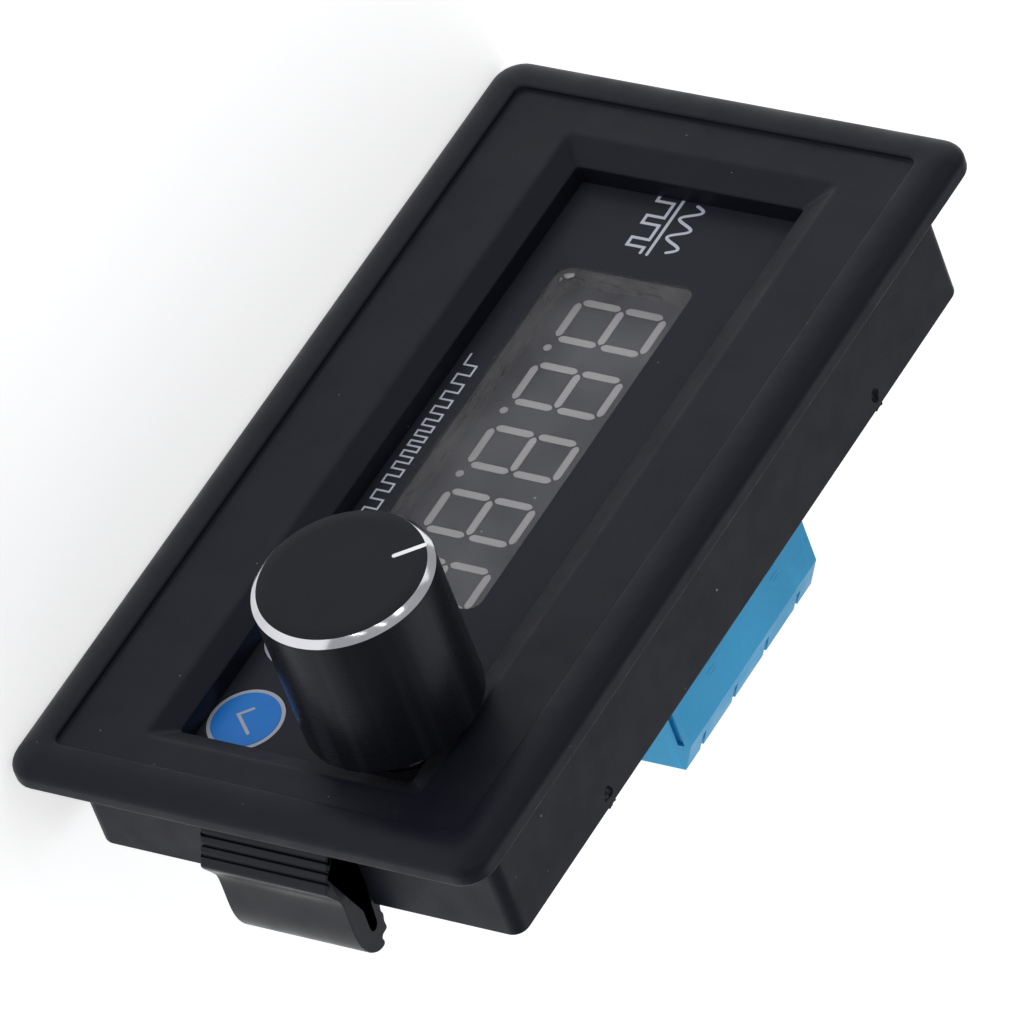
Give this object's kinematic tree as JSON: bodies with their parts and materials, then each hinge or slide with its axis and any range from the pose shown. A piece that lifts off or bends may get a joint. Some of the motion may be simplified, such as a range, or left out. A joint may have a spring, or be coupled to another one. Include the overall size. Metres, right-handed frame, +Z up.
{
  "type": "frequency counter",
  "caption": "Panel-mount frequency and duty meter with a seven-segment display, push-and-turn knob, film keys, spring clips and screw terminals.",
  "frame": {"origin": "centre of the flange's rear face, the plane that seats on the panel", "axes": "+X to the right seen from the front, +Y rearwards out of the panel's back, +Z up"},
  "size_m": [0.079, 0.0395, 0.043],
  "materials": {
    "housing_plastic": "black moulded ABS, fine satin grain",
    "overlay_print": "black printed polyester film with pale symbols",
    "display_window": "clear uncoated film with a light haze",
    "carrier_plastic": "black acrylic sheet",
    "spacer_plastic": "milky translucent foam frame",
    "display_face": "grey moulded display face",
    "segment_resin": "warm grey unlit diffusing resin",
    "tinned_metal": "tinned",
    "encoder_plastic": "black moulding",
    "encoder_metal": "nickel plated, turned",
    "rotor_plastic": "natural acetal",
    "knob_anodised": "black anodised, fine turned, bright cut edge",
    "knob_pointer": "bright milled groove",
    "knob_core": "black moulded core",
    "key_blue": "blue printed film disc with a pale ring and symbol",
    "key_red": "red printed film disc with a pale ring and symbol",
    "plunger_plastic": "black moulding",
    "switch_plastic": "black moulding",
    "terminal_blue": "light blue moulded polyamide",
    "screw_steel": "zinc plated",
    "clamp_steel": "zinc plated, stamped",
    "circuit_board": "green solder mask",
    "package_black": "moulded epoxy with tinned feet",
    "can_metal": "drawn nickel silver can",
    "capacitor_can": "drawn can on a black base",
    "resistor_black": "thick film with tinned ends",
    "capacitor_tan": "ceramic with tinned ends",
    "clip_plastic": "black moulded acetal, satin"
  },
  "bodies": {
    "housing": {"front_housing": "housing_plastic", "overlay_film": "overlay_print", "display_window": "display_window", "overlay_carrier": "carrier_plastic", "display_spacer": "spacer_plastic", "led_display": "display_face", "segment_diffusers": "segment_resin", "display_pins": "tinned_metal", "encoder_body": "encoder_plastic", "encoder_bushing": "encoder_metal", "encoder_pins": "tinned_metal", "ok_switch_body": "switch_plastic", "set_switch_body": "switch_plastic", "terminal_block_left": "terminal_blue", "terminal_block_right": "terminal_blue", "terminal_contacts": "tinned_metal", "main_board": "circuit_board", "switch_pins": "tinned_metal", "microcontroller": "package_black", "display_driver": "package_black", "voltage_regulator": "package_black", "protection_diode": "package_black", "crystal": "can_metal", "smoothing_capacitor": "capacitor_can", "chip_resistors": "resistor_black", "chip_capacitors": "capacitor_tan", "clip_anchor_right": "clip_plastic", "clip_anchor_left": "clip_plastic"},
    "encoder_rotor": {"encoder_rotor": "rotor_plastic"},
    "knob": {"encoder_shaft": "encoder_metal", "knob_shell": "knob_anodised", "knob_pointer": "knob_pointer", "knob_insert": "knob_core"},
    "ok_button": {"ok_key": "key_blue", "ok_switch_plunger": "plunger_plastic"},
    "set_button": {"set_key": "key_red", "set_switch_plunger": "plunger_plastic"},
    "clip_right": {"clip_leaf_right": "clip_plastic"},
    "clip_left": {"clip_leaf_left": "clip_plastic"},
    "screw_1": {"terminal_screw_1": "screw_steel"},
    "clamp_1": {"wire_clamp_1": "clamp_steel"},
    "screw_2": {"terminal_screw_2": "screw_steel"},
    "clamp_2": {"wire_clamp_2": "clamp_steel"},
    "screw_3": {"terminal_screw_3": "screw_steel"},
    "clamp_3": {"wire_clamp_3": "clamp_steel"},
    "screw_4": {"terminal_screw_4": "screw_steel"},
    "clamp_4": {"wire_clamp_4": "clamp_steel"}
  },
  "joints": [
    {"name": "knob_turn", "type": "hinge", "parent": "housing", "child": "encoder_rotor", "pos_m": [0.0262, 0, 0.0069], "axis": [0, 1, 0], "continuous": true},
    {"name": "knob_push", "type": "slide", "parent": "encoder_rotor", "child": "knob", "axis": [0, 1, 0], "range_m": [0, 0.0005], "stiffness_N_per_m": 4000, "springref_m": -0.0004},
    {"name": "ok_press", "type": "slide", "parent": "housing", "child": "ok_button", "axis": [0, 1, 0], "range_m": [0, 0.00025], "stiffness_N_per_m": 3000, "springref_m": -0.0001},
    {"name": "set_press", "type": "slide", "parent": "housing", "child": "set_button", "axis": [0, 1, 0], "range_m": [0, 0.00025], "stiffness_N_per_m": 3000, "springref_m": -0.0001},
    {"name": "clip_right_flex", "type": "hinge", "parent": "housing", "child": "clip_right", "pos_m": [0.0348, 0.0129, 0], "axis": [0, 0, -1], "range_deg": [0, 5.5], "stiffness_Nm_per_rad": 0.2},
    {"name": "clip_left_flex", "type": "hinge", "parent": "housing", "child": "clip_left", "pos_m": [-0.0348, 0.0129, 0], "axis": [0, 0, 1], "range_deg": [0, 5.5], "stiffness_Nm_per_rad": 0.2},
    {"name": "screw_1_turn", "type": "hinge", "parent": "housing", "child": "screw_1", "pos_m": [-0.01107, 0.0215, 0.0114], "axis": [0, -1, 0], "range_deg": [0, 1296]},
    {"name": "clamp_1_lift", "type": "slide", "parent": "housing", "child": "clamp_1", "axis": [0, 1, 0], "range_m": [0, 0.0018]},
    {"name": "screw_2_turn", "type": "hinge", "parent": "housing", "child": "screw_2", "pos_m": [-0.00599, 0.0215, 0.0114], "axis": [0, -1, 0], "range_deg": [0, 1296]},
    {"name": "clamp_2_lift", "type": "slide", "parent": "housing", "child": "clamp_2", "axis": [0, 1, 0], "range_m": [0, 0.0018]},
    {"name": "screw_3_turn", "type": "hinge", "parent": "housing", "child": "screw_3", "pos_m": [-0.00091, 0.0215, 0.0114], "axis": [0, -1, 0], "range_deg": [0, 1296]},
    {"name": "clamp_3_lift", "type": "slide", "parent": "housing", "child": "clamp_3", "axis": [0, 1, 0], "range_m": [0, 0.0018]},
    {"name": "screw_4_turn", "type": "hinge", "parent": "housing", "child": "screw_4", "pos_m": [0.00417, 0.0215, 0.0114], "axis": [0, -1, 0], "range_deg": [0, 1296]},
    {"name": "clamp_4_lift", "type": "slide", "parent": "housing", "child": "clamp_4", "axis": [0, 1, 0], "range_m": [0, 0.0018]}
  ],
  "couplings": [
    {"joint": "screw_1_turn", "follows": "clamp_1_lift", "rad_per_m": 12566},
    {"joint": "screw_2_turn", "follows": "clamp_2_lift", "rad_per_m": 12566},
    {"joint": "screw_3_turn", "follows": "clamp_3_lift", "rad_per_m": 12566},
    {"joint": "screw_4_turn", "follows": "clamp_4_lift", "rad_per_m": 12566}
  ]
}
